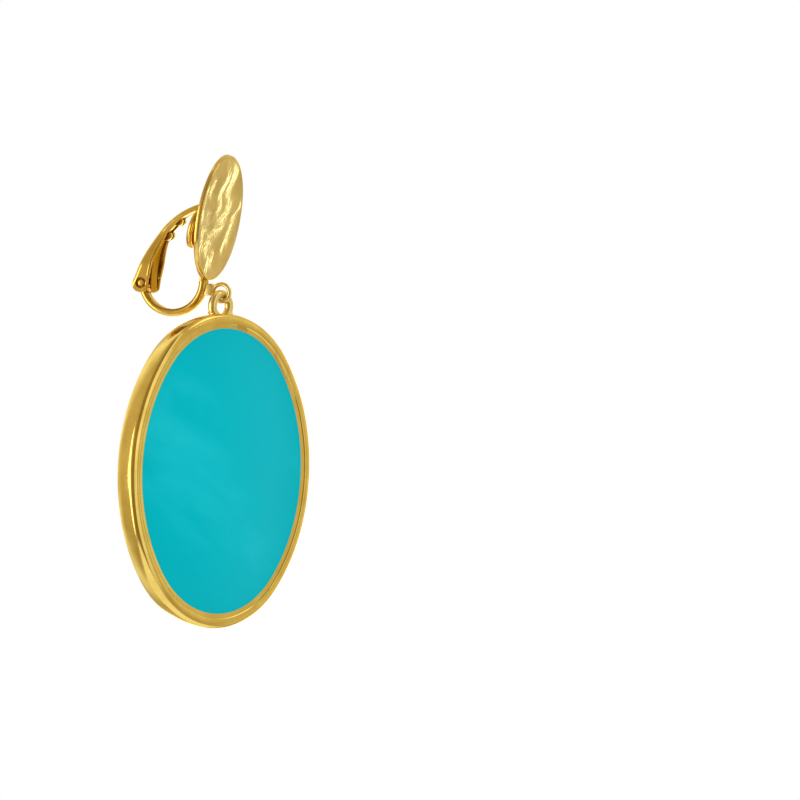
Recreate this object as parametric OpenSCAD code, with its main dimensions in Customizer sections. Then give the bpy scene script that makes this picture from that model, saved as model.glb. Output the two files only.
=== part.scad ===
// Clip-on earring with a hammered disc and a large oval drop.
// The origin is where the ear lobe is held, midway between the paddle and the seat pad.
// +Z is up, the front of the disc faces -Y, and X runs across the clip.

/* [Front disc] */
// Diameter of the hammered disc
disc_d = 14.55; // [12:0.05:18]
// Thickness of the disc at its edge
disc_edge_t = 0.4; // [0.36:0.01:0.6]
// Rise of the disc's face in its middle
disc_rise = 0.28; // [0.2:0.01:0.5]
// Forward tilt of the disc and the seat
clip_tilt = 7.6; // [6:0.1:10]
// Angle of the hammered flutes to the disc's own upright
flute_angle = -26; // [-40:1:40]

/* [Drop] */
// Height of the oval drop
drop_h = 35.8; // [32:0.1:42]
// Width of the oval drop
drop_w = 29.56; // [26:0.1:31]
// Depth of the oval drop
drop_depth = 2.95; // [2.5:0.05:3.4]
// Turn of the hanging drop about the vertical
drop_yaw = -25; // [-30:1:0]
// Bulge of the drop's side wall
side_bulge = 0.45; // [0.3:0.01:0.5]
// Width of the flat front ring
ring_w = 0.67; // [0.5:0.01:0.9]
// Width of the sloping inner wall
slope_w = 0.52; // [0.3:0.01:0.7]
// Depth of the inlay below the front ring
inlay_sink = 0.5; // [0.3:0.01:0.7]
// Thickness of the inlay
inlay_t = 1.6; // [1:0.05:1.7]

/* [Rings] */
// Wire of the drop's own ring
drop_wire = 1.02; // [0.9:0.01:1.04]
// Middle radius of the drop's own ring
drop_ring_r = 1.36; // [1.3:0.01:1.5]
// Wire of the clip's hooked ring
hook_wire = 0.5; // [0.45:0.01:0.52]
// Middle radius of the clip's hooked ring
hook_r = 0.97; // [0.96:0.01:1.02]

/* [Clip] */
// Thickness of the U-shaped strap
strap_t = 0.86; // [0.8:0.02:1]
// Width of the U-shaped strap
strap_w = 1.6; // [1.4:0.05:2]
// Middle radius of the U-shaped strap
strap_r = 3.6; // [3.5:0.05:3.7]
// Outer width of the lever across its ears
lever_w = 4.8; // [4.6:0.1:5.2]
// Thickness of the lever's sheet
sheet_t = 0.4; // [0.35:0.01:0.45]
// Depth of the lever's channel along its upper part
channel_h = 0.9; // [0.8:0.05:1]
// Diameter of the round paddle
paddle_d = 4.9; // [4.4:0.1:5.2]
// Thickness of the paddle
paddle_t = 0.64; // [0.5:0.02:0.7]
// Forward tilt of the paddle
paddle_tilt = 14.5; // [12:0.5:16]
// Gap for the ear lobe between the paddle and the seat pad
lobe_gap = 0.9; // [0.8:0.02:1.2]
// Diameter of the hinge pin
pin_d = 0.8; // [0.7:0.02:0.84]

/* [Hidden] */
$fn = 96;

// Colours
pale_gold = [0.83, 0.72, 0.45];
clip_gold = [0.80, 0.60, 0.24];
drop_gold = [0.80, 0.64, 0.29];
turquoise = [0.06, 0.71, 0.74];

// Gap between pieces that are seated on each other
seat_gap = 0.03;
// Cut that runs past a face
past = 0.5;

// Overlap between parts of one solid
overlap = 0.1;

// Seat, disc and paddle, measured along the clip's own tilted depth from the origin
pad_d = 6.4;
pad_t = 0.89;
pad_back = lobe_gap / 2;
pad_front = pad_back + pad_t;
disc_back = pad_front + seat_gap;
strip_t = 0.5;
// How far the strip reaches below the disc
strip_drop = 0.2;
disc_up = 1.6;
disc_low = disc_up - disc_d / 2;
face_r = (pow(disc_d / 2, 2) + pow(disc_rise, 2)) / (2 * disc_rise);
paddle_front = -lobe_gap / 2;
// Paddle's raised lip: its height, rounding, and how far in its top and foot are
paddle_lip = 0.15;
paddle_round = 0.2;
lip_round = 0.15;
lip_top = 0.5;
lip_foot = 0.7;

// Hammered flutes: place across the disc, turn away from flute_angle, depth of the cut, radius
flutes = [
    [-6.0, -6, 0.13, 7], [-4.1, 4, 0.10, 6], [-2.0, -3, 0.12, 8], [0.1, 3, 0.09, 7],
    [2.2, -5, 0.12, 8], [4.3, 2, 0.10, 6], [6.2, -3, 0.13, 7]
];

// Hooked ring of the clip, whose centre the drop swings about
hook_y = -2.54;
hook_z = -7.12;
hook_from = -12;
hook_turn = 297;
// Tab that joins the hooked ring to the strap, as low and high corners in Y and Z
tab_w = 0.84;
tab_low = [-1.58, -7.5];
tab_high = [-0.5, -6.12];

// U-shaped strap: centre in Y and Z, first angle and turn of its arc
strap_y = 3.22;
strap_z = -6;
strap_from = 177;
strap_turn = 163;

// Hinge
hinge_y = 6.37;
hinge_z = -6.35;
barrel_r = 0.56;
ear_r = 0.96;
// Centre of the ears' round ends, measured from the hinge in Y and Z
ear_at = [0.08, -0.08];
ear_play = 0.07;
ear_in = lever_w / 2 - sheet_t;
barrel_w = 2 * (ear_in - ear_play);
// Upper end of the strap's back leg and its flare: width, and corners from the hinge in Y and Z
leg_w = 1.3;
leg_corners = [[-0.24, -0.95], [0.5, -1.3], [0.64, -0.95], [barrel_r, 0], [0.1 - barrel_r, 0]];
flare_w = 3;
flare_corners = [[-0.35, -0.75], [0.4, -0.75], [0.5, 0], [-0.5, 0]];
pin_play = 0.09;
pin_sink = 0.1;
bore_play = 0.01;
pin_l = lever_w - 2 * pin_sink;

// Back curve of the lever in the Y-Z plane, from the ears up and over to the paddle
lever_pts = [[7.5, -6.3], [6.2, -3.2], [5.55, 0.85], [0.6, 2.8]];
lever_steps = 28;
lever_from = 0.035;
lever_end = 0.98;
// Round nose at the lever's upper end: radius, and angle left out at each end of its arc
nose_r = 0.32;
nose_rest = 15;
tongue_w = 1.6;
// Depth of the lever's side at the ears, and how far along the curve it falls
ear_depth = 1.85;
deep_to = 0.58;
depth_fall = 1.3;
channel_to = 0.84;
strip_from = channel_to - 0.02;
// Claws: place along the lever's curve, depth of the lug's middle and its radius
claws = [[0.6, 1.1, 0.5], [0.79, 0.85, 0.45]];
claw_x = [0.2, 0.86];
// Half widths of the lever seen from the front, as pairs of height and half width
lever_halves = [[-8, 2.4], [-4.3, 2.4], [-2.8, 2.0], [-1.4, 1.3], [-0.6, 1.0], [4, 0.9]];
// Height of the web's lower end, which clears the barrel as the lever opens
web_from = hinge_z + 0.8;
// How far the opening between the ears runs in front of the hinge and below it
ear_cut = 2;
// Reach of the cuts that hollow and trim the lever
hollow_reach = 4;
trim_reach = 20;

// Leaf spring's curve, from the claws down past the barrel, and its half widths
spring_pts = [[2.6, 0.95], [5.05, -1.1], [5.82, -3.4], [5.62, -7.1]];
spring_steps = 16;
spring_t = 0.18;
spring_play = 0.09;
// Slot for the spring in the claws, as places along its curve
slot_from = -0.04;
slot_to = 0.6;
spring_halves = [[-8, 0.95], [-4.3, 1.05], [-1.4, 0.62], [-0.4, 0.42], [2, 0.42]];

// Oval of four tangent arcs: small arcs at the top and bottom, large ones at the sides
oval_a = drop_w / 2;
oval_b = drop_h / 2;
end_r = 13.1;
end_c = oval_b - end_r;
side_r = (end_c * end_c + oval_a * oval_a - end_r * end_r) / (2 * (oval_a - end_r));
side_c = side_r - oval_a;
join_angle = atan2(end_c, side_c);

// Rim of the drop: distance in from the widest outline, against depth.
// Its side is one arc, which is widest a little in front of the middle.
rim_back = -drop_depth / 2;
rim_front = drop_depth / 2;
bulge_z = 0.12;
bulge_r = (pow(rim_front - bulge_z, 2) + pow(side_bulge, 2)) / (2 * side_bulge);
bulge_from = asin((rim_back - bulge_z) / bulge_r);
bulge_to = asin((rim_front - bulge_z) / bulge_r);
lip_in = side_bulge + ring_w;
pocket_in = lip_in + slope_w;
pocket_z = rim_front - inlay_sink - inlay_t - seat_gap;
floor_w = 0.6;
rim_in = pocket_in + floor_w;
// How far in from the outline the ring of the drop runs
ring_foot = 0.9;

// Place of the drop: its ring hangs on the lowest part of the hooked ring
hang_gap = 0.04;
drop_ring_up = 0.8;
drop_z = -hook_r + hook_wire / 2 + hang_gap + drop_wire / 2 - drop_ring_r - drop_ring_up - oval_b;

function bezier(p, t) =
    pow(1 - t, 3) * p[0] + 3 * pow(1 - t, 2) * t * p[1]
    + 3 * (1 - t) * t * t * p[2] + pow(t, 3) * p[3];
function slope(p, t) =
    3 * pow(1 - t, 2) * (p[1] - p[0]) + 6 * (1 - t) * t * (p[2] - p[1])
    + 3 * t * t * (p[3] - p[2]);
// Unit normal that points to the inside of the clip
function inward(p, t) = let (d = slope(p, t)) [-d[1], d[0]] / norm(d);
function offset_point(p, t, depth) = bezier(p, t) + depth * inward(p, t);
// Depth of the lever's side, which falls from the ears to the channel
function side_depth(t) =
    t > deep_to ? channel_h
    : channel_h + (ear_depth - channel_h) * pow(1 - t / deep_to, depth_fall);
function steps(a, b, n) = [for (i = [0:n]) a + (b - a) * i / n];
function backwards(list) = [for (i = [len(list) - 1:-1:0]) list[i]];

// Carries a 2D outline drawn as (Y, Z) across the clip, centred on X
module across(w) {
    rotate([90, 0, 90])
        translate([0, 0, -w / 2])
            linear_extrude(w) children();
}

// A cylinder or cone along X at a point of the Y-Z plane, from x0 to x1
module rod_x(y, z, x0, x1, r, r_end = -1) {
    translate([x0, y, z])
        rotate([0, 90, 0])
            cylinder(r1 = r, r2 = r_end < 0 ? r : r_end, h = x1 - x0);
}

// Both halves of a shape that stands on the +X side
module both_sides() {
    children();
    mirror([1, 0, 0]) children();
}

// Turns what is drawn face up so that it faces forward, tilted about the origin
module facing(tilt) {
    rotate([90 + tilt, 0, 0]) children();
}

// Outline of half widths over height, carried along Y, for trimming the lever
module front_trim(halves, inset) {
    right = [for (h = halves) [h[1] - inset, h[0]]];
    left = [for (h = halves) [inset - h[1], h[0]]];
    translate([0, trim_reach, 0])
        rotate([90, 0, 0])
            linear_extrude(2 * trim_reach) polygon(concat(right, backwards(left)));
}

// Strip between two depths inward of a curve
module curve_band(pts, n, t0, t1, d0, d1) {
    ts = steps(t0, t1, n);
    polygon(concat(
        [for (t = ts) offset_point(pts, t, d0)],
        backwards([for (t = ts) offset_point(pts, t, d1)])
    ));
}

// Side of the lever: deep at the ears, shallow at the top
module lever_side() {
    ts = steps(lever_from, channel_to, lever_steps);
    polygon(concat(
        [for (t = ts) bezier(lever_pts, t)],
        backwards([for (t = ts) offset_point(lever_pts, t, side_depth(t))]),
        [[hinge_y, hinge_z]]
    ));
}

module front_disc() {
    face_z = disc_edge_t + disc_rise;
    color(pale_gold)
    facing(clip_tilt) translate([0, disc_up, disc_back]) {
        difference() {
            intersection() {
                cylinder(d = disc_d, h = face_z);
                translate([0, 0, face_z - face_r]) sphere(r = face_r, $fn = 360);
            }
            for (f = flutes)
                rotate([0, 0, flute_angle + f[1]])
                    translate([f[0], 0, face_z - f[0] * f[0] / (2 * face_r) - f[2] + f[3]])
                        rotate([90, 0, 0])
                            cylinder(r = f[3], h = 2 * disc_d, center = true);
        }
    }
}

// Cross-section of the strap: a flat band with round edges
module strap_section() {
    flat = (strap_w - strap_t) / 2;
    square([strap_t, 2 * flat], center = true);
    for (s = [-1, 1]) translate([0, s * flat]) circle(d = strap_t, $fn = 48);
}

// Arc in the Y-Z plane about a centre, swept with a cross-section
module arc_yz(y, z, r, from, turn) {
    translate([0, y, z])
        rotate([90, 0, 90])
            rotate([0, 0, from])
                rotate_extrude(angle = turn)
                    translate([r, 0]) children();
}

// Outline drawn from the hinge in Y and Z, carried across the clip
module at_hinge(w, corners) {
    across(w) translate([hinge_y, hinge_z]) polygon(corners);
}

module ear_frame() {
    color(clip_gold)
    difference() {
        union() {
            arc_yz(strap_y, strap_z, strap_r, strap_from, strap_turn) strap_section();
            at_hinge(leg_w, leg_corners);
            at_hinge(flare_w, flare_corners);
            rod_x(hinge_y, hinge_z, -barrel_w / 2, barrel_w / 2, barrel_r);
            facing(clip_tilt) translate([0, 0, pad_back]) {
                cylinder(d = pad_d, h = pad_t);
                translate([-strap_w / 2, disc_low - strip_drop, pad_t - strip_t])
                    cube([strap_w, -disc_low, strip_t]);
            }
            across(tab_w)
                translate(tab_low) square(tab_high - tab_low);
            arc_yz(hook_y, hook_z, hook_r, hook_from, hook_turn) circle(d = hook_wire, $fn = 32);
        }
        rod_x(hinge_y, hinge_z, -lever_w, lever_w, pin_d / 2 + bore_play);
        facing(clip_tilt)
            translate([0, disc_up, pad_front])
                cylinder(d = disc_d + 2 * seat_gap, h = disc_edge_t + disc_rise + past);
    }
}

module hinge_pin() {
    color(clip_gold)
    rod_x(hinge_y, hinge_z, -pin_l / 2, pin_l / 2, pin_d / 2);
}

// One claw, a rounded lug folded forward over the spring
module claw(t, depth, r) {
    foot = offset_point(lever_pts, t, 0);
    d = inward(lever_pts, t);
    translate([(claw_x[0] + claw_x[1]) / 2, foot[0], foot[1]])
        rotate([atan2(d[1], d[0]), 0, 0])
            across(claw_x[1] - claw_x[0]) {
                translate([sheet_t / 2, -r]) square([depth - sheet_t / 2, 2 * r]);
                translate([depth, 0]) circle(r = r);
            }
}

// Round paddle, seen face up, with a raised lip on the side of the ear
module paddle() {
    r = paddle_d / 2;
    dish = paddle_t - paddle_lip;
    rotate_extrude()
        polygon([
            [0, 0], [r - paddle_round, 0], [r, paddle_round],
            [r, paddle_t - lip_round], [r - lip_round, paddle_t],
            [r - lip_top, paddle_t], [r - lip_foot, dish], [0, dish]
        ]);
}

// Upper end of the lever: a solid strip with a round nose
module lever_strip() {
    ts = steps(strip_from, lever_end, 8);
    nose = offset_point(lever_pts, lever_end, nose_r);
    away = -inward(lever_pts, lever_end);
    from = atan2(away[1], away[0]);
    polygon(concat(
        [for (t = ts) bezier(lever_pts, t)],
        [for (a = steps(from + nose_rest, from + 180 - nose_rest, 10)) nose + nose_r * [cos(a), sin(a)]],
        backwards([for (t = ts) offset_point(lever_pts, t, 2 * nose_r)])
    ));
}

// Lever's bent sheet: two cheeks and a web below, a solid strip above
module lever_sheet() {
    intersection() {
        difference() {
            across(lever_w) {
                lever_side();
                lever_strip();
            }
            intersection() {
                across(lever_w) curve_band(lever_pts, lever_steps, 0, channel_to, sheet_t, hollow_reach);
                front_trim(lever_halves, sheet_t);
            }
        }
        front_trim(lever_halves, 0);
    }
}

module clip_lever() {
    color(clip_gold)
    difference() {
        union() {
            lever_sheet();
            both_sides() {
                rod_x(hinge_y + ear_at[0], hinge_z + ear_at[1], ear_in, lever_w / 2, ear_r);
                for (c = claws) claw(c[0], c[1], c[2]);
            }
            facing(paddle_tilt) translate([0, 0, paddle_front - paddle_t]) {
                paddle();
                translate([-tongue_w / 2, 0, 0])
                    cube([tongue_w, paddle_d / 2, paddle_t - paddle_lip]);
            }
        }
        translate([-ear_in, hinge_y - ear_cut, hinge_z - ear_cut])
            cube([2 * ear_in, 2.5 * ear_cut, ear_cut + web_from - hinge_z]);
        both_sides() {
            rod_x(hinge_y, hinge_z, 0, lever_w, pin_d / 2 + pin_play);
            rod_x(hinge_y, hinge_z, lever_w / 2 - pin_sink, lever_w / 2 + pin_sink,
                pin_d / 2 + pin_play, pin_d / 2 + pin_play + 2 * pin_sink);
        }
        across(2 * (spring_halves[2][1] + spring_play))
            curve_band(spring_pts, spring_steps, slot_from, slot_to,
                -spring_t / 2 - spring_play, spring_t / 2 + spring_play);
    }
}

module leaf_spring() {
    color(clip_gold)
    intersection() {
        across(2 * ear_in) curve_band(spring_pts, spring_steps, 0, 1, -spring_t / 2, spring_t / 2);
        front_trim(spring_halves, 0);
    }
}

// Filled oval, set in from the drop's widest outline
module oval(inset) {
    join_z = end_c + (end_r - inset) * sin(join_angle);
    intersection() {
        translate([side_c, 0]) circle(r = side_r - inset, $fn = 360);
        translate([-side_c, 0]) circle(r = side_r - inset, $fn = 360);
        square([2 * drop_w, 2 * join_z], center = true);
    }
    for (s = [-1, 1])
        intersection() {
            translate([0, s * end_c]) circle(r = end_r - inset, $fn = 240);
            translate([0, s * (join_z + drop_h / 2)]) square([2 * drop_w, drop_h], center = true);
        }
}

// Cross-section of the rim, with the widest outline at x = 0 and the front at +y
module rim_section() {
    side = [for (a = steps(bulge_from, bulge_to, 8))
        [bulge_r * cos(a) - bulge_r, bulge_z + bulge_r * sin(a)]];
    polygon(concat(
        [[-rim_in, rim_back], [-rim_in, pocket_z]],
        [[-pocket_in, pocket_z], [-pocket_in, rim_front - inlay_sink], [-lip_in, rim_front]],
        backwards(side)
    ));
}

// One arc of the rim about its own centre
module rim_arc(x, y, r, from, turn) {
    translate([x, y, 0])
        rotate([0, 0, from])
            rotate_extrude(angle = turn, $fn = 240)
                translate([r, 0]) rim_section();
}

module drop_placed() {
    translate([0, hook_y, hook_z + drop_z])
        rotate([90, 0, drop_yaw]) children();
}

module drop_frame() {
    color(drop_gold)
    drop_placed() {
        rim_arc(-side_c, 0, side_r, -join_angle, 2 * join_angle);
        rim_arc(side_c, 0, side_r, 180 - join_angle, 2 * join_angle);
        rim_arc(0, end_c, end_r, join_angle, 180 - 2 * join_angle);
        rim_arc(0, -end_c, end_r, 180 + join_angle, 180 - 2 * join_angle);
        translate([0, 0, rim_back])
            linear_extrude(pocket_z - rim_back) oval(rim_in - overlap);
        difference() {
            translate([0, oval_b + drop_ring_up, 0])
                rotate_extrude()
                    translate([drop_ring_r, 0]) circle(d = drop_wire, $fn = 40);
            translate([0, 0, rim_back]) linear_extrude(drop_depth) oval(ring_foot);
        }
    }
}

module inlay() {
    color(turquoise)
    drop_placed()
        translate([0, 0, pocket_z + seat_gap])
            linear_extrude(inlay_t) oval(pocket_in + seat_gap);
}

front_disc();
ear_frame();
hinge_pin();
clip_lever();
leaf_spring();
drop_frame();
inlay();
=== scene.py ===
"""Looks of a clip-on earring: a hammered disc on a lever clip, and an oval drop with a turquoise inlay.

Lengths are in millimetres until a piece is finished, and metres after that.
Sizes and places are the ones that the solid model has. The fine profile of the drop's rim,
the hammer marks and the beads of solder are made here alone.
"""
import math

import bmesh
import bpy
from mathutils import Matrix, Vector, noise


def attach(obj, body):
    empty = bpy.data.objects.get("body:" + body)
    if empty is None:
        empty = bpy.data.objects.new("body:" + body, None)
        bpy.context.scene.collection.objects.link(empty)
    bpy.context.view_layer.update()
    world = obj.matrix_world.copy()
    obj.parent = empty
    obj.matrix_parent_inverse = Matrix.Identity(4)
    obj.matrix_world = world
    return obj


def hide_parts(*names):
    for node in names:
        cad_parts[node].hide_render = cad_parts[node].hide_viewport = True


MM = 0.001
scene = bpy.context.scene

# Disc and seat
DISC_R = 7.275
DISC_EDGE = 0.4
DISC_RISE = 0.28
DISC_ROUND = 0.24
DISC_DRAFT = 0.05
DISC_UP = 1.6
DISC_BACK = 1.37
CLIP_TILT = 7.6

# Hammer marks on the disc: middle in X and Y, half width and length, lean in degrees, and crinkle.
# The crinkled patch among them has a middle and a spread.
HAMMER_MARKS = [
    (-1.1, 2.9, 1.0, 3.0, 20, 0.6), (2.1, 4.1, 1.5, 2.3, 14, 0.4), (1.3, 0.5, 1.4, 2.7, 38, 0.6),
    (-1.2, -1.7, 1.4, 2.1, 42, 1.0), (4.3, -1.2, 1.2, 1.9, 30, 0.4), (5.7, 0.9, 0.6, 1.5, 42, 0.2),
    (2.9, -2.9, 0.6, 1.3, 35, 0.3), (-6.3, 1.3, 0.7, 2.4, 0, 0.5), (-4.6, 3.3, 0.8, 1.2, 10, 0.6),
    (-4.6, -0.6, 1.0, 1.4, 15, 1.0), (-3.2, -3.2, 1.2, 1.4, 20, 0.8), (-0.7, -4.7, 0.7, 1.1, 10, 0.6),
    (-2.2, -5.3, 0.8, 0.9, 10, 0.6), (-5.5, -2.3, 0.7, 1.7, -15, 0.7),
]
CRINKLED = (-2.6, -1.4, 3.2)
HAMMER_TILT = 7.5
HAMMER_SINK = 0.1
HAMMER_STEP = 0.12
HAMMER_REACH = round(DISC_R / HAMMER_STEP) + 1
CREASE_LEAN = 52

# Hinge and rings, as places in Y and Z
HINGE = (6.37, -6.35)
PIN_R = 0.4
PIN_HALF = 2.3
HOOK = (-2.54, -7.12)
HOOK_R = 0.97
HOOK_WIRE = 0.5
HOOK_FROM = -12
HOOK_TURN = 297
TAB = ((-1.58, -7.5), (-0.5, -6.12), 0.42)

# Strap, barrel and seat
STRAP = (3.22, -6)
STRAP_R = 3.6
STRAP_THICK = 0.86
STRAP_WIDE = 1.6
STRAP_FROM = 177
STRAP_TURN = 163
BARREL_R = 0.56
BARREL_HALF = 1.93
LEG_HALF = 0.65
FLARE_HALF = 1.5
LEG = [(-0.24, -0.95), (0.5, -1.3), (0.64, -0.95), (0.56, 0), (-0.46, 0)]
FLARE = [(-0.35, -0.75), (0.4, -0.75), (0.5, 0), (-0.5, 0)]
PAD_R = 3.2
PAD_BACK = 0.45
PAD_FRONT = 1.34
STRIP_HALF = 0.8
STRIP_THICK = 0.5
STRIP_PAST = 0.2

# Beads of solder, as middle and half sizes
TAB_BEAD = ((0, -0.5, -5.98), (0.75, 0.42, 0.24))
FOOT_BEAD = ((1.12, -0.82, 0.04), (0.62, 0.26, 0.6))

# Lever: its back curve in Y and Z, half widths against height, and depth of its cheeks.
# A place along the curve is 0 at the ears and 1 at the top.
LEVER_CURVE = [(7.5, -6.3), (6.2, -3.2), (5.55, 0.85), (0.6, 2.8)]
LEVER_HALVES = [(-8, 2.4), (-4.6, 2.4), (-0.4, 1.0), (4, 0.9)]
LEVER_END = 0.99
LEVER_OUT = 2.4
SHEET = 0.4
BEND = 0.45
ROUNDED_OVER = 35
EAR_DEPTH = 1.85
CHANNEL_DEPTH = 0.9
CHANNEL_FROM = 0.58
BAR_DEPTH = 0.66
BAR_FROM = (0.72, 0.86)
BAR_RUN = (0.74, 1.03)
BAR_SINK = 0.34
BAR_THICK = 0.58
WEB_FROM = -5.55
WEB_HALF = 2.0
EAR = (6.45, -6.43)
EAR_R = 0.97
EAR_FROM = 0.06
EAR_RUN = 1.8
EAR_HOLE = 0.49
HOLE_SINK = 0.16
HOLE_FLARE = 0.15
ROLL_RUN = (0.12, 0.62)
ROLL_R = 0.23
ROLL_BACK = 0.1

# Claws of the lever: place along it, depth and radius of the curl, and reach across
CLAWS = [(0.6, 0.88, 0.58), (0.79, 0.7, 0.5)]
CLAW_X = (0.2, 0.86)
CLAW_WALL = 0.17
CLAW_TURN = 285

# Paddle and spring
PADDLE_R = 2.45
PADDLE_THICK = 0.64
PADDLE_TILT = 14.5
SPRING_CURVE = [(2.6, 0.95), (5.05, -1.1), (5.82, -3.4), (5.62, -7.1)]
SPRING_HALVES = [(-8, 0.95), (-4.3, 1.05), (-1.4, 0.62), (-0.4, 0.42), (2, 0.42)]
SPRING_THICK = 0.18

# Oval of the drop, made of four arcs that touch
OVAL_A = 14.78
OVAL_B = 17.9
END_R = 13.1
END_C = OVAL_B - END_R
SIDE_R = (END_C ** 2 + OVAL_A ** 2 - END_R ** 2) / (2 * (OVAL_A - END_R))
SIDE_C = SIDE_R - OVAL_A
JOIN = math.atan2(END_C, SIDE_C)

# Rim of the drop, as depth and distance in from its widest outline, and its back plate and ring
RIM_HALF = 1.475
SIDE_BULGE = 0.45
BULGE_Z = 0.8
LIP_IN = 1.12
POCKET_IN = 1.64
INLAY_SINK = 0.16
POCKET_Z = RIM_HALF - 2.1
BACK_IN = 1.9
BACK_SINK = 0.12
WAVE_DEPTH = 0.04
ROUND_STEP = 0.4
DROP_YAW = -25
DROP_CENTRE = (0, -2.54, -27.35)
DROP_RING_R = 1.36
DROP_WIRE = 1.02
DROP_RING_UP = 0.8

# Light tent, as brightness against the way round in degrees, and against height
TENT_PANELS = [
    (-180, 0.32), (-126, 0.34), (-119, 1.1), (-107, 1.1), (-98, 0.62), (-64, 0.66), (-54, 0.82),
    (-42, 0.82), (-34, 0.72), (-14, 0.82), (24, 0.82), (38, 0.64), (54, 1.15), (64, 1.15),
    (80, 0.62), (110, 0.62), (140, 0.58), (172, 0.56), (177, 0.32), (180, 0.32),
]
TENT_RISE = [(-1, 0.5), (-0.7, 0.6), (-0.4, 0.8), (0, 1), (0.3, 1), (0.6, 0.92), (1, 0.8)]

# Camera: degrees round from the clip's side, roll, aim across and up, lens, and distance in metres
CAMERA_ROUND = 18
CAMERA_ROLL = 2.5
CAMERA_AIM = (22.4, -19.39)
CAMERA_LENS = 1400
CAMERA_AWAY = 3.535

# Aim of the softboxes and size of the floor, in metres
LIGHTS_AIM = (0, 0, -0.02)
FLOOR_Z = -0.25
FLOOR_R = 0.25

# Tint of the bright golds where they are seen edge on
BRIGHT_EDGE = (1, 0.92, 0.66)


def turned(axis, degrees):
    return Matrix.Rotation(math.radians(degrees), 4, axis)


def moved(x, y, z):
    return Matrix.Translation((x, y, z))


# Places of the pieces that are drawn face up
SEAT_PLACE = turned("X", 90 + CLIP_TILT)
DISC_PLACE = SEAT_PLACE @ moved(0, DISC_UP, DISC_BACK)
DROP_PLACE = moved(*DROP_CENTRE) @ turned("Z", DROP_YAW) @ turned("X", 90)


class Nodes:
    """Short way to add and join a finish's nodes."""

    def __init__(self, tree):
        self.tree = tree

    def add(self, kind, values=None, **settings):
        made = self.tree.nodes.new(kind)
        for key, value in settings.items():
            setattr(made, key, value)
        for key, value in (values or {}).items():
            made.inputs[key].default_value = value
        return made

    def join(self, a, out, b, into):
        self.tree.links.new(a.outputs[out], b.inputs[into])


def new_finish(name):
    finish = bpy.data.materials.new(name)
    finish.use_nodes = True
    nodes = Nodes(finish.node_tree)
    shader = finish.node_tree.nodes["Principled BSDF"]
    place = nodes.add("ShaderNodeTexCoord")
    return finish, nodes, shader, place


def shades(nodes, stops):
    """Colour ramp through (place, colour) stops."""
    ramp = nodes.add("ShaderNodeValToRGB")
    marks = ramp.color_ramp.elements
    while len(marks) < len(stops):
        marks.new(0.5)
    for mark, (at, colour) in zip(marks, stops):
        mark.position = at
        mark.color = (*colour, 1)
    return ramp


def plated_gold(name, low, high, edge, smooth, dull, grain=700, grain_depth=0.002):
    """Gold plating: patchy colour and gloss, and a slight unevenness left by polishing."""
    finish, nodes, shader, place = new_finish(name)
    shader.inputs["Metallic"].default_value = 1
    shader.inputs["Specular Tint"].default_value = (*edge, 1)
    patches = nodes.add("ShaderNodeTexNoise", {"Scale": 420, "Detail": 3, "Roughness": 0.6})
    nodes.join(place, "Object", patches, "Vector")
    colour = shades(nodes, [(0.3, low), (0.7, high)])
    nodes.join(patches, "Fac", colour, "Fac")
    nodes.join(colour, "Color", shader, "Base Color")
    worn = nodes.add("ShaderNodeTexNoise", {"Scale": grain / 3, "Detail": 3, "Roughness": 0.6})
    nodes.join(place, "Object", worn, "Vector")
    gloss = nodes.add("ShaderNodeMapRange", {"From Min": 0.3, "From Max": 0.7, "To Min": smooth, "To Max": dull})
    nodes.join(worn, "Fac", gloss, "Value")
    nodes.join(gloss, "Result", shader, "Roughness")
    fine = nodes.add("ShaderNodeTexNoise", {"Scale": grain, "Detail": 1, "Roughness": 0.5})
    nodes.join(place, "Object", fine, "Vector")
    bump = nodes.add("ShaderNodeBump", {"Strength": 1.0, "Distance": grain_depth * MM})
    nodes.join(fine, "Fac", bump, "Height")
    nodes.join(bump, "Normal", shader, "Normal")
    return finish


def painted_highlight_gold(name, low, high, edge, smooth, dull, bright):
    """Plated gold painted paler along the hammer marks: a painted highlight where they would catch the light."""
    finish = plated_gold(name, low, high, edge, smooth, dull, grain=1500)
    nodes = Nodes(finish.node_tree)
    shader = finish.node_tree.nodes["Principled BSDF"]
    under = shader.inputs["Base Color"].links[0].from_socket
    # The attribute holds the painted highlight: the base colour is mixed towards the pale colour there.
    highlight_share = nodes.add("ShaderNodeAttribute", attribute_name="painted_highlight")
    mix = nodes.add("ShaderNodeMix", {"B": (*bright, 1)}, data_type="RGBA")
    nodes.join(highlight_share, "Fac", mix, "Factor")
    nodes.tree.links.new(under, mix.inputs["A"])
    nodes.join(mix, "Result", shader, "Base Color")
    return finish


def turquoise_resin():
    """Opaque turquoise resin with faint lighter clouds that drift along one way."""
    finish, nodes, shader, place = new_finish("turquoise_resin")
    drift = nodes.add("ShaderNodeMapping", vector_type="TEXTURE", values={
        "Location": (0.012, 0, 0.010), "Rotation": (0, math.radians(-58), 0), "Scale": (1, 1, 2.4)})
    nodes.join(place, "Object", drift, "Vector")
    clouds = nodes.add("ShaderNodeTexNoise", {"Scale": 62, "Detail": 6, "Roughness": 0.6, "Distortion": 0.4})
    nodes.join(drift, "Vector", clouds, "Vector")
    colour = shades(nodes, [(0.36, (0.0, 0.45, 0.52)), (0.5, (0.0, 0.47, 0.54)), (0.64, (0.008, 0.525, 0.60))])
    nodes.join(clouds, "Fac", colour, "Fac")
    nodes.join(colour, "Color", shader, "Base Color")
    shader.inputs["Roughness"].default_value = 0.4
    shader.inputs["Specular IOR Level"].default_value = 0.03
    return finish


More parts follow.
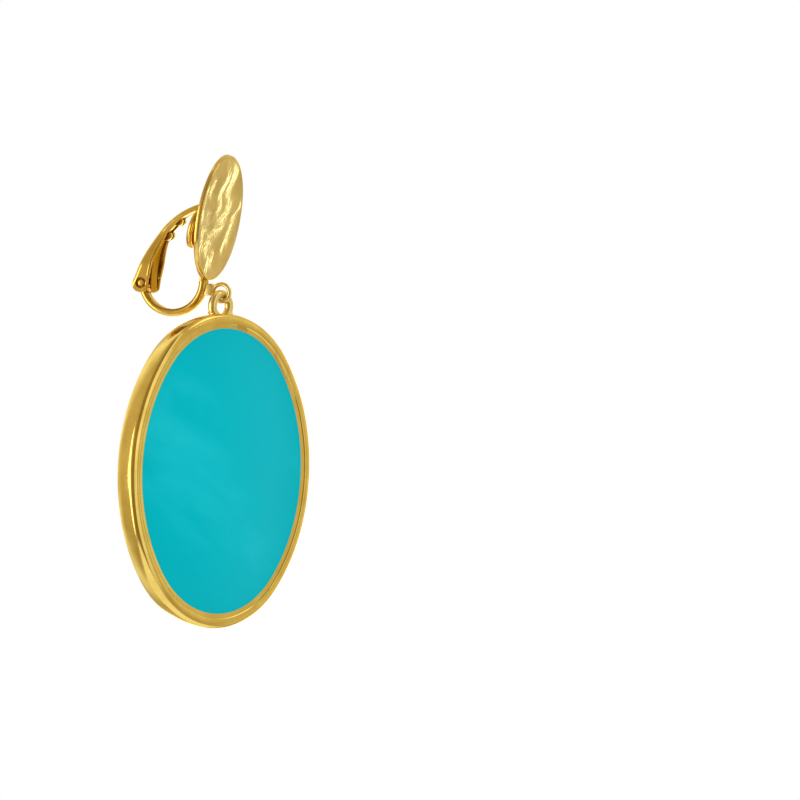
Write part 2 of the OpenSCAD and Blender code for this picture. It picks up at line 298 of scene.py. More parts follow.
def finished_piece(bm, name, body, nodes, finish, place=None, sharp=50, second=None):
    """Closes a piece's seams, puts it in its place in metres and hangs it on its body."""
    bmesh.ops.remove_doubles(bm, verts=bm.verts, dist=0.002)
    bmesh.ops.recalc_face_normals(bm, faces=bm.faces)
    bmesh.ops.transform(bm, matrix=Matrix.Scale(MM, 4) @ (place or Matrix()), verts=bm.verts)
    mesh = bpy.data.meshes.new(name)
    bm.to_mesh(mesh)
    bm.free()
    mesh.shade_smooth()
    mesh.set_sharp_from_angle(angle=math.radians(sharp))
    mesh.materials.append(finish)
    if second:
        mesh.materials.append(second)
    made = bpy.data.objects.new(name, mesh)
    scene.collection.objects.link(made)
    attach(made, body)
    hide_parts(*nodes)


def wire_line(bm, points):
    """Open line through a few points, as the start of a spin."""
    ends = [bmesh.ops.create_vert(bm, co=p)["vert"][0] for p in points]
    return ends + [bm.edges.new(pair) for pair in zip(ends, ends[1:])]


def wire_ring(points):
    """Closed line of points with its edges, each once and in order, as the start of a spin."""
    return points + list(dict.fromkeys(e for v in points for e in v.link_edges))


def soft_edges(bm, offset, segments=3, over=30):
    """Rounds every edge that is sharper than the angle."""
    sharp = [e for e in bm.edges if e.is_manifold and e.calc_face_angle(0) > math.radians(over)]
    bmesh.ops.bevel(bm, geom=sharp, offset=offset, segments=segments, profile=0.5,
                    affect="EDGES", material=-1, clamp_overlap=True)


def worked(bm, thick, edge, hole=None):
    """Gives a sheet its thickness, rounds its edges and drills it."""
    rough = bpy.data.objects.new("rough_piece", bpy.data.meshes.new("rough_piece"))
    bm.to_mesh(rough.data)
    bm.clear()
    scene.collection.objects.link(rough)
    wall = rough.modifiers.new("wall", "SOLIDIFY")
    wall.thickness = thick
    wall.offset = 0
    wall.use_even_offset = True
    rounded = rough.modifiers.new("rounded_edges", "BEVEL")
    rounded.width = edge
    rounded.segments = 3
    rounded.limit_method = "ANGLE"
    rounded.angle_limit = math.radians(ROUNDED_OVER)
    if hole:
        drilled = rough.modifiers.new("drilled", "BOOLEAN")
        drilled.operation = "DIFFERENCE"
        drilled.object = hole
    bpy.context.view_layer.update()
    skin = bpy.data.meshes.new_from_object(rough.evaluated_get(bpy.context.evaluated_depsgraph_get()))
    bm.from_mesh(skin)
    bpy.data.meshes.remove(skin)
    bpy.data.meshes.remove(rough.data)
    if hole:
        bpy.data.meshes.remove(hole.data)
    return bm


def turned_part(points, axis, steps=64, edge=0.0):
    """Solid of revolution: points give the place along the axis and the radius."""
    bm = bmesh.new()
    line = wire_line(bm, [(x, r, 0) if axis == "X" else (r, 0, x) for x, r in points])
    bmesh.ops.spin(bm, geom=line, cent=(0, 0, 0), axis=(1, 0, 0) if axis == "X" else (0, 0, 1),
                   angle=2 * math.pi, steps=steps, use_merge=True)
    bmesh.ops.remove_doubles(bm, verts=bm.verts, dist=0.001)
    bmesh.ops.recalc_face_normals(bm, faces=bm.faces)
    if edge:
        soft_edges(bm, edge)
    return bm


def block(low, high, edge):
    """Rectangular block between two corners, with rounded edges."""
    low, high = Vector(low), Vector(high)
    place = Matrix.Translation((low + high) / 2) @ Matrix.Diagonal((*(high - low), 1))
    bm = bmesh.new()
    bmesh.ops.create_cube(bm, size=1, matrix=place)
    soft_edges(bm, edge)
    return bm


def plate(outline, half, edge):
    """Plate cut to an outline in Y and Z, with half its thickness to each side of the middle."""
    bm = bmesh.new()
    wire_line(bm, [(-half, y, z) for y, z in [*outline, outline[0]]])
    bmesh.ops.remove_doubles(bm, verts=bm.verts, dist=0.001)
    face = bmesh.ops.contextual_create(bm, geom=list(bm.edges))["faces"]
    grown = bmesh.ops.extrude_face_region(bm, geom=face)["geom"]
    bmesh.ops.translate(bm, vec=(2 * half, 0, 0), verts=[v for v in grown if isinstance(v, bmesh.types.BMVert)])
    bmesh.ops.recalc_face_normals(bm, faces=bm.faces)
    if edge:
        soft_edges(bm, edge)
    return bm


def bent_wire(r, turn, steps, section):
    """Wire bent round the X axis, from +Y towards +Z, with closed ends."""
    bm = bmesh.new()
    wire = wire_ring(section(bm, moved(0, r, 0)))
    bmesh.ops.spin(bm, geom=wire, cent=(0, 0, 0), axis=(1, 0, 0), angle=math.radians(turn), steps=steps)
    bmesh.ops.holes_fill(bm, edges=[e for e in bm.edges if e.is_boundary], sides=0)
    bmesh.ops.recalc_face_normals(bm, faces=bm.faces)
    return bm


def round_section(r):
    def section(bm, place):
        return bmesh.ops.create_circle(bm, segments=24, radius=r, matrix=place)["verts"]
    return section


def flat_section(thick, wide):
    """Flat wire with round edges, lying across X."""
    def section(bm, place):
        wire = bmesh.ops.create_circle(bm, segments=32, radius=thick / 2, matrix=place)["verts"]
        for v in wire:
            v.co.x += math.copysign((wide - thick) / 2, v.co.x)
        return wire
    return section


def joined(*parts):
    """One mesh from several."""
    whole = bmesh.new()
    for part in parts:
        sheet = bpy.data.meshes.new("part")
        part.to_mesh(sheet)
        part.free()
        whole.from_mesh(sheet)
        bpy.data.meshes.remove(sheet)
    return whole


def bezier(curve, t):
    a, b, c, d = (Vector(p) for p in curve)
    return (1 - t) ** 3 * a + 3 * (1 - t) ** 2 * t * b + 3 * (1 - t) * t * t * c + t ** 3 * d


def inward(curve, t):
    """Unit normal of a curve, towards the inside of the clip."""
    a, b, c, d = (Vector(p) for p in curve)
    run = (1 - t) ** 2 * (b - a) + 2 * (1 - t) * t * (c - b) + t * t * (d - c)
    return Vector((-run.y, run.x)).normalized()


def half_width(halves, z):
    """Half width of a strip at a height, eased between the given ones."""
    for (z0, w0), (z1, w1) in zip(halves, halves[1:]):
        if z <= z1:
            s = (z - z0) / (z1 - z0)
            return w0 + (w1 - w0) * s * s * (3 - 2 * s)
    return halves[-1][1]


def bent_sheet(columns, rows, place):
    """Sheet of squares whose corners are put in place by their column and row."""
    bm = bmesh.new()
    bmesh.ops.create_grid(bm, x_segments=columns, y_segments=rows, size=0.5)
    for v in bm.verts:
        v.co = place(round((v.co.x + 0.5) * columns), round((v.co.y + 0.5) * rows))
    return bm


def cheek_depth(t):
    """Depth of the lever's cheeks, deep at the ears and shallow at the top."""
    if t < CHANNEL_FROM:
        return CHANNEL_DEPTH + (EAR_DEPTH - CHANNEL_DEPTH) * (1 - t / CHANNEL_FROM) ** 1.3
    start, end = BAR_FROM
    return CHANNEL_DEPTH + (BAR_DEPTH - CHANNEL_DEPTH) * min(1, max(0, (t - start) / (end - start)))


def ear_cutter():
    """Block with a round notch, which leaves a cheek's end as a round ear."""
    n = inward(LEVER_CURVE, EAR_FROM)
    along = Vector((n.y, -n.x))
    round_end = [Vector(EAR) + EAR_R * (n * math.cos(a) - along * math.sin(a))
                 for a in (math.radians(-14 + 7.5 * i) for i in range(28))]
    front, back = round_end[0] + n * 2.5, round_end[-1] - n * 2.5
    return plate(round_end + [back, back - along * 4, front - along * 4, front], 3.5, 0)


def lever_channel():
    """Lever's sheet bent to a U: two cheeks with round ears, and the web between them; its inside faces and pin
    hole carry painted shade.
    """
    cheek, bend, web, rows = 16, 6, 3, 62
    columns = 2 * (cheek + bend + web)

    def place(i, k):
        side = -1 if i < columns / 2 else 1
        j = min(i, columns - i)
        t = EAR_FROM + max(0, k - 1) / (rows - 1) * (LEVER_END - EAR_FROM)
        deep = cheek_depth(t)
        out, depth = 1.0, BEND
        if j <= cheek:
            depth = deep - (deep - BEND) * j / cheek
            step_in = 0
        elif j <= cheek + bend:
            a = math.pi / 2 * (j - cheek) / bend
            depth = BEND - (BEND - SHEET / 2) * math.sin(a)
            step_in = (BEND - SHEET / 2) * (1 - math.cos(a))
        else:
            depth = SHEET / 2
            step_in = BEND - SHEET / 2
            out = 1 - (j - cheek - bend) / web
        spot = bezier(LEVER_CURVE, t) + depth * inward(LEVER_CURVE, t)
        if k == 0:
            spot += (bezier(LEVER_CURVE, 0) - bezier(LEVER_CURVE, EAR_FROM)).normalized() * EAR_RUN
        x = (half_width(LEVER_HALVES, spot.y) - SHEET / 2 - step_in) * out
        return (side * x, spot.x, spot.y)

    bm = bent_sheet(columns, rows, place)
    middles = {f: f.calc_center_median() for f in bm.faces}
    gap = [f for f, middle in middles.items() if middle.z < WEB_FROM and abs(middle.x) < WEB_HALF]
    bmesh.ops.delete(bm, geom=gap, context="FACES")
    drill = bpy.data.objects.new("drill", bpy.data.meshes.new("drill"))
    wide, floor = EAR_HOLE + HOLE_FLARE, LEVER_OUT - HOLE_SINK
    rod = turned_part([(-4, 0), (-4, wide), (-floor, wide), (-floor, EAR_HOLE),
                       (floor, EAR_HOLE), (floor, wide), (4, wide), (4, 0)], "X")
    bmesh.ops.translate(rod, vec=(0, *HINGE), verts=rod.verts)
    tool = joined(rod, ear_cutter())
    tool.to_mesh(drill.data)
    tool.free()
    scene.collection.objects.link(drill)
    worked(bm, thick=SHEET, edge=0.1, hole=drill)
    bm.normal_update()
    # Faces inside the channel and in the pin hole get the painted shade finish.
    for f in bm.faces:
        x, y, z = f.calc_center_median()
        in_hole = math.hypot(y - HINGE[0], z - HINGE[1]) < wide + 0.02 and abs(x) < LEVER_OUT - 0.02
        if in_hole or x * f.normal.x < -0.5 * abs(x):
            f.material_index = 1
    return bm


def lever_bar():
    """Solid upper end of the lever, under the web."""
    start, end = BAR_RUN

    def place(i, k):
        t = start + (end - start) * k / 16
        spot = bezier(LEVER_CURVE, t) + BAR_SINK * inward(LEVER_CURVE, t)
        x = half_width(LEVER_HALVES, spot.y) - 0.06
        return (x * (i / 4 - 1), spot.x, spot.y)
    return worked(bent_sheet(8, 16, place), thick=BAR_THICK, edge=0.16)


def cheek_roll(side):
    """Rounded front edge of a cheek, round its ear and then along the lever."""
    n = inward(LEVER_CURVE, EAR_FROM)
    along = Vector((n.y, -n.x))
    spots = [Vector(EAR) + (EAR_R - 0.12) * (n * math.cos(a) - along * math.sin(a))
             for a in (math.radians(178 - 9 * i) for i in range(19))]
    start, end = ROLL_RUN
    for i in range(40):
        t = start + (end - start) * i / 39
        spots.append(bezier(LEVER_CURVE, t) + (cheek_depth(t) - ROLL_BACK) * inward(LEVER_CURVE, t))
    line = bpy.data.curves.new("cheek_roll", "CURVE")
    line.dimensions = "3D"
    line.bevel_depth = ROLL_R
    line.bevel_resolution = 4
    line.use_fill_caps = True
    run = line.splines.new("POLY")
    run.points.add(len(spots) - 1)
    for point, spot in zip(run.points, spots):
        at_ear = max(0, min(1, (-5.3 - spot.y) / 0.5))
        x = half_width(LEVER_HALVES, spot.y) - 0.18 - 0.05 * at_ear
        point.co = (side * x, spot.x, spot.y, 1)
        point.radius = 1 - 0.17 * at_ear
    for i in range(1, 5):
        run.points[-i].radius = 0.4 + 0.14 * i
    made = bpy.data.objects.new("cheek_roll", line)
    scene.collection.objects.link(made)
    bpy.context.view_layer.update()
    skin = bpy.data.meshes.new_from_object(made.evaluated_get(bpy.context.evaluated_depsgraph_get()))
    bm = bmesh.new()
    bm.from_mesh(skin)
    bpy.data.meshes.remove(skin)
    bpy.data.curves.remove(line)
    return bm


def claw(t, depth, r, side):
    """Tab folded over the spring in a tight curl, with a core that closes it; the core, the curl's hollow and its
    ends carry painted shade.
    """
    n = inward(LEVER_CURVE, t)
    middle = bezier(LEVER_CURVE, t) + depth * n
    start = middle + Vector((-n.y, n.x)) * (r - CLAW_WALL / 2)
    near, far = CLAW_X
    bm = bmesh.new()
    line = wire_line(bm, [(side * (near + (far - near) * i / 3), start.x, start.y) for i in range(4)])
    edges = [e for e in line if isinstance(e, bmesh.types.BMEdge)]
    foot = [v for v in bmesh.ops.extrude_edge_only(bm, edges=edges)["geom"] if isinstance(v, bmesh.types.BMVert)]
    bmesh.ops.translate(bm, vec=(0, *(-n * (depth - SHEET / 2))), verts=foot)
    bmesh.ops.spin(bm, geom=line, cent=(0, *middle), axis=(1, 0, 0), angle=math.radians(-CLAW_TURN), steps=26)
    bmesh.ops.remove_doubles(bm, verts=bm.verts, dist=0.002)
    bmesh.ops.recalc_face_normals(bm, faces=bm.faces)
    worked(bm, thick=CLAW_WALL, edge=0.04)
    inner, core_end = r - CLAW_WALL, far - 0.2
    core = turned_part([(near, 0), (near, inner), (core_end, inner), (core_end, 0)], "X", steps=24)
    bmesh.ops.transform(core, matrix=moved(0, *middle) @ Matrix.Diagonal((side, 1, 1, 1)), verts=core.verts)
    bm = joined(bm, core)
    bm.normal_update()
    # The curl's hollow, its ends and the core carry painted shade.
    for f in bm.faces:
        out = f.calc_center_median().yz - middle
        hollow = out.length < r - CLAW_WALL / 2 and out.dot(f.normal.yz) < 0
        if hollow or abs(f.normal.x) > 0.6:
            f.material_index = 1
    return bm


def paddle():
    """Round paddle with a rolled lip that faces the ear; its dished face carries painted shade."""
    r, thick = PADDLE_R, PADDLE_THICK
    bm = turned_part([(0, 0), (0, r - 0.3), (0.12, r - 0.08), (0.3, r), (thick - 0.16, r), (thick - 0.04, r - 0.08),
                      (thick, r - 0.22), (thick - 0.03, r - 0.4), (thick - 0.14, r - 0.62), (thick - 0.17, r - 0.9),
                      (thick - 0.17, 0)], "Z", steps=96)
    # The dished face gets the painted shade finish.
    for f in bm.faces:
        middle = f.calc_center_median()
        if middle.z > thick - 0.3 and middle.xy.length < r - 0.36:
            f.material_index = 1
    bmesh.ops.transform(bm, matrix=turned("X", 90 + PADDLE_TILT) @ moved(0, 0, -PAD_BACK - thick), verts=bm.verts)
    return bm


def clip_lever(finish, painted_shade_finish):
    parts = [lever_channel(), lever_bar(), paddle(), cheek_roll(-1), cheek_roll(1)]
    parts += [claw(*c, side) for c in CLAWS for side in (-1, 1)]
    # The second finish is painted shade on the lever's inner faces.
    finished_piece(joined(*parts), "clip_lever_sheet", "lever", ["clip_lever"], finish,
                   second=painted_shade_finish)


def leaf_spring(finish):
    def place(i, k):
        spot = bezier(SPRING_CURVE, k / 48)
        x = half_width(SPRING_HALVES, spot.y)
        return (x * (i / 4 - 1), spot.x, spot.y)
    finished_piece(worked(bent_sheet(8, 48, place), thick=SPRING_THICK, edge=0.05), "leaf_spring_sheet",
                   "lever", ["leaf_spring"], finish)


def solder_bead(middle, halves):
    """Lumpy bead of solder where two parts meet."""
    bm = bmesh.new()
    bmesh.ops.create_icosphere(bm, subdivisions=4, radius=1, matrix=moved(*middle) @ Matrix.Diagonal((*halves, 1)))
    for v in bm.verts:
        v.co += (v.co - Vector(middle)) * 0.25 * noise.noise(v.co * 1.9)
    return bm


def ear_frame(finish, ring_finish):
    """Strap with its seat, its barrel for the hinge, and the tab that carries the hooked ring."""
    strap = bent_wire(STRAP_R, STRAP_TURN, 72, flat_section(STRAP_THICK, STRAP_WIDE))
    bmesh.ops.transform(strap, matrix=moved(0, *STRAP) @ turned("X", STRAP_FROM), verts=strap.verts)
    ring = bent_wire(HOOK_R, HOOK_TURN, 72, round_section(HOOK_WIRE / 2))
    soft_edges(ring, 0.06, over=60)
    bmesh.ops.transform(ring, matrix=moved(0, *HOOK) @ turned("X", HOOK_FROM), verts=ring.verts)
    barrel = turned_part([(-BARREL_HALF, PIN_R), (-BARREL_HALF, BARREL_R), (BARREL_HALF, BARREL_R),
                          (BARREL_HALF, PIN_R), (-BARREL_HALF, PIN_R)], "X", edge=0.05)
    bmesh.ops.translate(barrel, vec=(0, *HINGE), verts=barrel.verts)
    leg = plate(LEG, LEG_HALF, 0.12)
    flare = plate(FLARE, FLARE_HALF, 0.12)
    for part in (leg, flare):
        bmesh.ops.translate(part, vec=(0, *HINGE), verts=part.verts)
    seat = turned_part([(PAD_BACK, 0), (PAD_BACK, PAD_R), (PAD_FRONT, PAD_R), (PAD_FRONT, 0)], "Z",
                       steps=96, edge=0.2)
    strip = block((-STRIP_HALF, DISC_UP - DISC_R - STRIP_PAST, PAD_FRONT - STRIP_THICK),
                  (STRIP_HALF, 0, PAD_FRONT), 0.1)
    for part in (seat, strip):
        bmesh.ops.transform(part, matrix=SEAT_PLACE, verts=part.verts)
    low, high, half = TAB
    tab = block((-half, *low), (half, *high), 0.14)
    for f in list(ring.faces) + list(tab.faces):
        f.material_index = 1
    solder = solder_bead(*TAB_BEAD)
    finished_piece(joined(strap, ring, barrel, leg, flare, seat, strip, tab, solder), "ear_frame_casting",
                   "clip", ["ear_frame"], finish, second=ring_finish)


def hinge_pin(finish):
    bm = turned_part([(-PIN_HALF, 0), (-PIN_HALF, PIN_R), (PIN_HALF, PIN_R), (PIN_HALF, 0)], "X", edge=0.13)
    finished_piece(bm, "hinge_pin_rod", "clip", ["hinge_pin"], finish, moved(0, *HINGE))


def hammer_blow(x, y):
    """How much a place on the disc belongs to a hammer mark, and how crinkled it is."""
    x_wavy = x + 0.35 * noise.noise(Vector((x * 0.7, y * 0.5, 2.2)))
    struck = crinkled = 0.0
    for x0, y0, half, length, lean, rough in HAMMER_MARKS:
        lean = math.radians(lean)
        across = (x_wavy - x0) * math.cos(lean) - (y - y0) * math.sin(lean)
        along = (x_wavy - x0) * math.sin(lean) + (y - y0) * math.cos(lean)
        blow = math.exp(-(across / half) ** 4 - (along / length) ** 4)
        struck = max(struck, blow)
        crinkled = max(crinkled, rough * blow)
    middle_x, middle_y, spread = CRINKLED
    return struck, max(crinkled, 0.8 * math.exp(-((x - middle_x) ** 2 + (y - middle_y) ** 2) / spread ** 2))


def hammered_rows():
    """Heights of the disc's face in rows: each mark falls one way, and the metal between them climbs back."""
    fall = math.tan(math.radians(HAMMER_TILT))
    places = range(-HAMMER_REACH, HAMMER_REACH + 1)
    rows = []
    for j in places:
        struck = [hammer_blow(i * HAMMER_STEP, j * HAMMER_STEP)[0] for i in places]
        chord = [math.hypot(i, j) * HAMMER_STEP < DISC_R for i in places]
        marked = sum(s for s, on in zip(struck, chord) if on)
        climb = fall * marked / max(1, sum(chord) - marked)
        height, row = 0.0, []
        for s, on in zip(struck, chord):
            if on:
                height += HAMMER_STEP * (climb * (1 - s) - fall * s)
            row.append(height if on else 0.0)
        rows.append(row)
    return rows


def hammered_height(x, y, rows):
    """Height between the rows' nearest places, with the fine crinkles added, and how much painted highlight it
    gets.
    """
    i, j = math.floor(x / HAMMER_STEP), math.floor(y / HAMMER_STEP)
    u, v = x / HAMMER_STEP - i, y / HAMMER_STEP - j
    i, j = i + HAMMER_REACH, j + HAMMER_REACH
    low, high = (row[i:i + 2] for row in rows[j:j + 2])
    lift = (1 - v) * ((1 - u) * low[0] + u * low[1]) + v * ((1 - u) * high[0] + u * high[1])
    struck, crinkled = hammer_blow(x, y)
    lean = math.radians(CREASE_LEAN)
    across = x * math.cos(lean) - y * math.sin(lean)
    along = x * math.sin(lean) + y * math.cos(lean)
    crease = abs(noise.noise(Vector((across * 1.8, along * 0.7, 7.7))))
    crease += 0.55 * abs(noise.noise(Vector((across * 3.9, along * 1.7, 1.3))))
    swell = noise.noise(Vector((across * 0.35, along * 0.2, 4.4)))
    # The second value is the share of painted highlight: strongest on the hammer marks, less in their crinkles.
    return lift + (0.018 + 0.14 * crinkled) * crease + 0.04 * swell, struck * (1.2 - 1.6 * crease * crinkled)


def hammered_disc(finish, wall_finish):
    """Disc whose face is beaten, with the clip's finish on its thin edge."""
    bm = bmesh.new()
    flat_r, crown, rings = DISC_R - DISC_ROUND, 0.4 * DISC_RISE, 84
    front = [(flat_r * i / rings, 0, DISC_EDGE + DISC_RISE - crown * (i / rings) ** 2) for i in range(rings + 1)]
    corner_r, corner_z, fall = DISC_ROUND - DISC_DRAFT, DISC_EDGE - 0.05, DISC_RISE - crown + 0.05
    for i in range(1, 7):
        a = math.pi / 2 * i / 6
        front.append((flat_r + corner_r * math.sin(a), 0, corner_z + fall * math.cos(a)))
    edge = [(DISC_R, 0, 0.06), (DISC_R - 0.06, 0, 0), (DISC_R * 0.6, 0, 0), (0, 0, 0)]
    line = wire_line(bm, front + edge)
    bmesh.ops.spin(bm, geom=line, cent=(0, 0, 0), axis=(0, 0, 1), angle=2 * math.pi, steps=360, use_merge=True)
    bmesh.ops.remove_doubles(bm, verts=bm.verts, dist=0.001)
    # Painted highlight, stored per point and read by the disc's finish.
    painted_highlight = bm.verts.layers.float.new("painted_highlight")
    rows = hammered_rows()
    for v in bm.verts:
        if v.co.z > DISC_EDGE:
            keep = min(1, (DISC_R - v.co.xy.length) / 0.6)
            lift, highlight_share = hammered_height(v.co.x, v.co.y, rows)
            v.co.z += keep * (lift - HAMMER_SINK)
            v[painted_highlight] = max(0, min(1, keep * highlight_share))
    for f in bm.faces:
        middle = f.calc_center_median()
        if middle.z < DISC_EDGE and middle.xy.length > DISC_R - 0.1:
            f.material_index = 1
    finished_piece(bm, "hammered_disc", "clip", ["front_disc"], finish, DISC_PLACE, sharp=70,
                   second=wall_finish)


def round_the_oval(bm, line):
    """Carries a line once round the drop's oval, arc by arc."""
    side, end = 2 * JOIN, math.pi - 2 * JOIN
    for centre, turn, r in (((-SIDE_C, 0, 0), side, SIDE_R), ((0, END_C, 0), end, END_R),
                            ((SIDE_C, 0, 0), side, SIDE_R), ((0, -END_C, 0), end, END_R)):
        line = bmesh.ops.spin(bm, geom=line, cent=centre, axis=(0, 0, 1), angle=turn,
                              steps=round(turn * r / ROUND_STEP))["geom_last"]
    bmesh.ops.remove_doubles(bm, verts=bm.verts, dist=0.002)


def oval_start(inset, z):
    """Point at the first join of the oval's arcs, set in from the widest outline."""
    return (-SIDE_C + (SIDE_R - inset) * math.cos(JOIN), -(SIDE_R - inset) * math.sin(JOIN), z)


def fill_level(bm, z):
    """Closes the open loop at one depth with a flat face."""
    rim = [e for e in bm.edges if e.is_boundary and all(abs(v.co.z - z) < 0.01 for v in e.verts)]
    return bmesh.ops.contextual_create(bm, geom=rim)["faces"]


def polish_waves(bm):
    """Slight waves that hand polishing leaves in the rim's side wall."""
    for v in bm.verts:
        flat = Vector((v.co.x, v.co.y, 0))
        outward = Vector((v.co.x / OVAL_A ** 2, v.co.y / OVAL_B ** 2, 0))
        if outward.dot(flat) > 0.86 and abs(v.co.z) < RIM_HALF - 0.1:
            wave = noise.noise(Vector((v.co.x * 0.22, v.co.y * 0.22, v.co.z * 0.9)))
            v.co += outward.normalized() * WAVE_DEPTH * wave


def side_arc(end, steps):
    """Side wall's curve from its front or back edge to its widest place, as distance in and depth."""
    run = end - BULGE_Z
    r = (run ** 2 + SIDE_BULGE ** 2) / (2 * SIDE_BULGE)
    turn = math.atan2(run, r - SIDE_BULGE)
    turns = [turn * k / steps for k in range(steps, -1, -1)]
    return [(r * (1 - math.cos(a)), BULGE_Z + r * math.sin(a)) for a in turns]


def drop_rim(finish, back_finish):
    """Cast frame of the drop: rolled rim, pocket for the inlay and a recessed back plate."""
    side = side_arc(RIM_HALF - 0.1, 10) + side_arc(-RIM_HALF, 9)[-2::-1]
    pocket = [(POCKET_IN + 0.25, POCKET_Z), (POCKET_IN + 0.25, RIM_HALF - INLAY_SINK - 0.04)]
    lip = [(LIP_IN + 0.06, RIM_HALF - 0.15), (LIP_IN, RIM_HALF - 0.05)]
    crest = [(1.0, RIM_HALF - 0.027), (0.87, RIM_HALF - 0.006), (0.76, RIM_HALF), (0.64, RIM_HALF - 0.012),
             (0.54, RIM_HALF - 0.045)]
    back = [(BACK_IN, -RIM_HALF), (BACK_IN + 0.15, -RIM_HALF + BACK_SINK)]
    section = pocket + lip + crest + side + back
    bm = bmesh.new()
    round_the_oval(bm, wire_line(bm, [oval_start(*p) for p in section]))
    soft_edges(bm, 0.14, segments=4, over=60)
    fill_level(bm, POCKET_Z)
    for f in fill_level(bm, -RIM_HALF + BACK_SINK):
        f.material_index = 1
    polish_waves(bm)
    finished_piece(bm, "drop_rim", "drop", ["drop_frame"], finish, DROP_PLACE,
                   second=back_finish)


def drop_ring(finish):
    bm = bmesh.new()
    wire = bmesh.ops.create_circle(bm, segments=28, radius=DROP_WIRE / 2,
                                   matrix=moved(DROP_RING_R, 0, 0) @ turned("X", 90))["verts"]
    bmesh.ops.spin(bm, geom=wire_ring(wire), cent=(0, 0, 0), axis=(0, 0, 1), angle=2 * math.pi, steps=84,
                   use_merge=True)
    (x, y, z), halves = FOOT_BEAD
    feet = [solder_bead((side * x, y, z), halves) for side in (-1, 1)]
    finished_piece(joined(bm, *feet), "drop_ring", "drop", ["drop_frame"], finish,
                   DROP_PLACE @ moved(0, OVAL_B + DROP_RING_UP, 0))


def turquoise_inlay(finish):
    bm = bmesh.new()
    start = POCKET_IN + 0.02
    base, top = POCKET_Z + 0.02, RIM_HALF - INLAY_SINK
    line = wire_line(bm, [oval_start(start, base), oval_start(start, top - 0.04), oval_start(start + 0.04, top)])
    round_the_oval(bm, line)
    fill_level(bm, base)
    fill_level(bm, top)
    finished_piece(bm, "turquoise_inlay", "drop", ["inlay"], finish, DROP_PLACE)


def place_camera():
    """Long lens, level with the clip, 72 degrees round from the disc's front."""
    way, roll = math.radians(CAMERA_ROUND), math.radians(CAMERA_ROLL)
    along = Vector((math.sin(way), -math.cos(way), 0))
    back = Vector((-math.cos(way), -math.sin(way), 0))
    up = Vector((0, 0, 1))
    right = along * math.cos(roll) + up * math.sin(roll)
    top = up * math.cos(roll) - along * math.sin(roll)
    aim = (right * CAMERA_AIM[0] + top * CAMERA_AIM[1]) * MM
    lens = bpy.data.cameras.new("photo_camera")
    lens.lens = CAMERA_LENS
    lens.sensor_width = 36
    lens.clip_start = 0.05
    lens.clip_end = 20
    camera = bpy.data.objects.new("photo_camera", lens)
    turn = Matrix((right, top, back)).transposed()
    camera.matrix_world = Matrix.Translation(aim + back * CAMERA_AWAY) @ turn.to_4x4()
    scene.collection.objects.link(camera)
    scene.camera = camera


def softbox(name, place, size, power, shape):
    lamp = bpy.data.lights.new(name, "AREA")
    lamp.shape = shape
    lamp.size, lamp.size_y = size
    lamp.energy = power
    made = bpy.data.objects.new(name, lamp)
    made.location = place
    made.rotation_euler = (Vector(place) - Vector(LIGHTS_AIM)).to_track_quat("Z", "Y").to_euler()
    scene.collection.objects.link(made)


def tent_colour(t):
    """Light of one brightness in the tent: the dimmer, the warmer."""
    return t, t * min(1, 0.6 + 0.4 * t), t * min(1, 0.1 + 0.8 * t)


def light_tent():
    """White tent: seen as white, while the metal reflects its panels and the dark gaps between them."""
    tent = bpy.data.worlds.new("white_tent")
    tent.use_nodes = True
    scene.world = tent
    nodes = Nodes(tent.node_tree)
    seen = tent.node_tree.nodes["Background"]
    seen.inputs["Color"].default_value = (1, 1, 1, 1)
    seen.inputs["Strength"].default_value = 1
    place = nodes.add("ShaderNodeTexCoord")
    way = nodes.add("ShaderNodeSeparateXYZ")
    nodes.join(place, "Generated", way, "Vector")
    round_way = nodes.add("ShaderNodeMath", operation="ARCTAN2")
    nodes.join(way, "Y", round_way, 0)
    nodes.join(way, "X", round_way, 1)
    turn = nodes.add("ShaderNodeMapRange", {"From Min": -math.pi, "From Max": math.pi})
    nodes.join(round_way, "Value", turn, "Value")
    panels = shades(nodes, [((a + 180) / 360, tent_colour(t)) for a, t in TENT_PANELS])
    nodes.join(turn, "Result", panels, "Fac")
    height = nodes.add("ShaderNodeMapRange", {"From Min": -1, "From Max": 1})
    nodes.join(way, "Z", height, "Value")
    rise = shades(nodes, [((z + 1) / 2, (t, t, t)) for z, t in TENT_RISE])
    nodes.join(height, "Result", rise, "Fac")
    both = nodes.add("ShaderNodeMix", {"Factor": 1}, data_type="RGBA", blend_type="MULTIPLY")
    nodes.join(panels, "Color", both, "A")
    nodes.join(rise, "Color", both, "B")
    lit = nodes.add("ShaderNodeBackground", {"Strength": 1})
    nodes.join(both, "Result", lit, "Color")
    rays = nodes.add("ShaderNodeLightPath")
    mix = nodes.add("ShaderNodeMixShader")
    plain = nodes.add("ShaderNodeMath", operation="ADD", use_clamp=True)
    nodes.join(rays, "Is Camera Ray", plain, 0)
    nodes.join(rays, "Is Diffuse Ray", plain, 1)
    nodes.join(plain, "Value", mix, "Fac")
    nodes.join(lit, "Background", mix, 1)
    nodes.join(seen, "Background", mix, 2)
    nodes.join(mix, "Shader", tent.node_tree.nodes["World Output"], "Surface")


def softboxes():
    softbox("side_softbox", (-0.4, 0.45, -0.1), (0.38, 0.66), 1.5, "ELLIPSE")
    softbox("front_softbox", (0.593, 0.094, -0.09), (0.38, 0.34), 0.68, "RECTANGLE")
    softbox("top_softbox", (0.2, -0.49, 0.58), (0.36, 0.36), 0.38, "RECTANGLE")


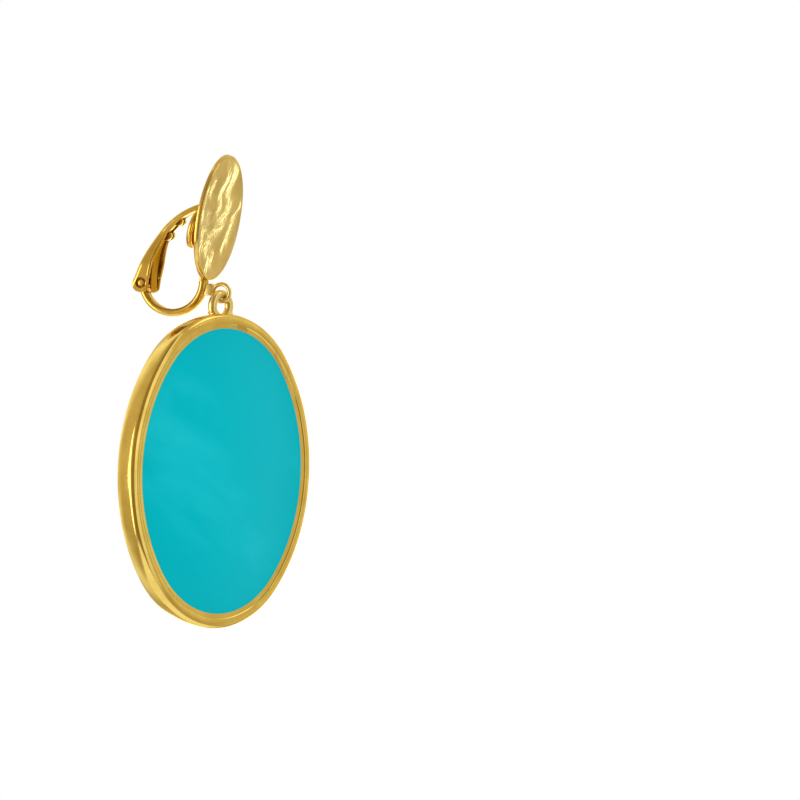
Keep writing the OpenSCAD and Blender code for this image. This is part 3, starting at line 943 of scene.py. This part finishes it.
def pale_floor():
    bm = bmesh.new()
    bmesh.ops.create_circle(bm, segments=96, radius=FLOOR_R, cap_ends=True, matrix=moved(0, 0, FLOOR_Z))
    sheet = bpy.data.meshes.new("floor")
    bm.to_mesh(sheet)
    bm.free()
    floor = bpy.data.objects.new("floor", sheet)
    scene.collection.objects.link(floor)
    paper, _, shader, _ = new_finish("white_paper")
    shader.inputs["Base Color"].default_value = (0.9, 0.9, 0.9, 1)
    shader.inputs["Roughness"].default_value = 0.9
    sheet.materials.append(paper)


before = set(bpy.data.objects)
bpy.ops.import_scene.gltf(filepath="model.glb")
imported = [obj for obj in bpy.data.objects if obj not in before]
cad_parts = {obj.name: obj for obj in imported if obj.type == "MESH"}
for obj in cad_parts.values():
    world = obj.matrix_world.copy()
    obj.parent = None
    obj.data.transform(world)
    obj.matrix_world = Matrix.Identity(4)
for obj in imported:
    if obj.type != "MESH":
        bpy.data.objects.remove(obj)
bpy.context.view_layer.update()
scene.view_settings.view_transform = "Standard"
place_camera()
light_tent()
softboxes()
pale_floor()

# The disc's finish paints highlights along the hammer marks in a paler colour.
disc_gold = painted_highlight_gold("pale_satin_gold", (0.68, 0.52, 0.20), (0.76, 0.58, 0.235), (1, 0.88, 0.58),
                           0.14, 0.20, (1.0, 0.9, 0.5))
clip_gold = plated_gold("bright_clip_gold", (0.76, 0.49, 0.09), (0.90, 0.61, 0.135), BRIGHT_EDGE, 0.18, 0.28)
drop_gold = plated_gold("satin_drop_gold", (0.82, 0.58, 0.13), (0.97, 0.72, 0.19), BRIGHT_EDGE, 0.12, 0.20,
                        grain=500)
back_gold = plated_gold("matt_back_gold", (0.80, 0.57, 0.15), (0.92, 0.68, 0.20), BRIGHT_EDGE, 0.36, 0.46,
                        grain=500, grain_depth=0.003)
# Paler gold on the rings and the tab: a softer plating, whose colour is also raised to paint their highlights
# lighter.
ring_gold = plated_gold("soft_ring_gold", (0.92, 0.73, 0.27), (1.0, 0.81, 0.33), (1, 0.94, 0.72), 0.26, 0.34)
# Dark brown gold on the leaf spring: painted shade for its place inside the lever's channel.
spring_gold = plated_gold("brown_spring_gold", (0.44, 0.24, 0.05), (0.56, 0.33, 0.06), (1, 0.7, 0.3), 0.32, 0.42)
# Dark brown gold that paints the shade inside the lever: its channel, pin hole, claws and the paddle's face.
painted_shade_gold = plated_gold("painted_shade_gold", (0.30, 0.13, 0.02), (0.40, 0.18, 0.03), (0.5, 0.3, 0.1), 0.4, 0.5)
resin = turquoise_resin()

hammered_disc(disc_gold, clip_gold)
drop_rim(drop_gold, back_gold)
drop_ring(ring_gold)
turquoise_inlay(resin)
ear_frame(clip_gold, ring_gold)
hinge_pin(clip_gold)
clip_lever(clip_gold, painted_shade_gold)
leaf_spring(spring_gold)
